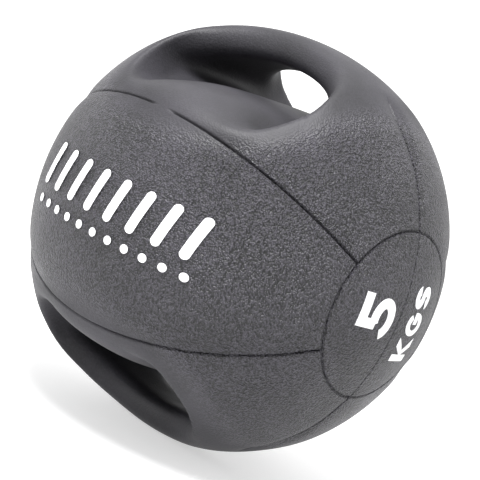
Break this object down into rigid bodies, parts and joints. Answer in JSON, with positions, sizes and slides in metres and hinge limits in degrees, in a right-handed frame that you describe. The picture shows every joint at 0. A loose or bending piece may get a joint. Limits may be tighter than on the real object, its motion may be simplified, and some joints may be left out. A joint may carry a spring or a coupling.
{
  "type": "medicine ball",
  "caption": "Hollow rubber medicine ball with a hand grip above and below, each over a tunnel through the ball.",
  "frame": {"origin": "centre of the ball", "axes": "+Z out through the middle of the upper grip bar, +X out through the middle of the right weight cap, -Y out through the middle of the printed front panel"},
  "size_m": [0.265, 0.2649, 0.268],
  "materials": {
    "grained_rubber": "pebble grained, semi matt",
    "smooth_rubber": "smooth, semi matt",
    "carcass_rubber": "matt",
    "bladder_rubber": "matt",
    "valve_rubber": "matt",
    "white_ink": "matt printed film"
  },
  "bodies": {
    "root": {"front_panel": "grained_rubber", "rear_panel": "grained_rubber", "upper_front_panel": "grained_rubber", "upper_rear_panel": "grained_rubber", "lower_front_panel": "grained_rubber", "lower_rear_panel": "grained_rubber", "right_cap": "grained_rubber", "left_cap": "grained_rubber", "upper_tunnel_liner": "smooth_rubber", "lower_tunnel_liner": "smooth_rubber", "upper_grip_bar": "smooth_rubber", "lower_grip_bar": "smooth_rubber", "front_carcass": "carcass_rubber", "rear_carcass": "carcass_rubber", "bladder": "bladder_rubber", "valve_stem": "valve_rubber", "valve_plug": "valve_rubber", "right_digit": "white_ink", "right_letter_k": "white_ink", "right_letter_g": "white_ink", "right_letter_s": "white_ink", "left_digit": "white_ink", "left_letter_k": "white_ink", "left_letter_g": "white_ink", "left_letter_s": "white_ink", "front_stripes": "white_ink", "front_dots": "white_ink"}
  },
  "joints": []
}
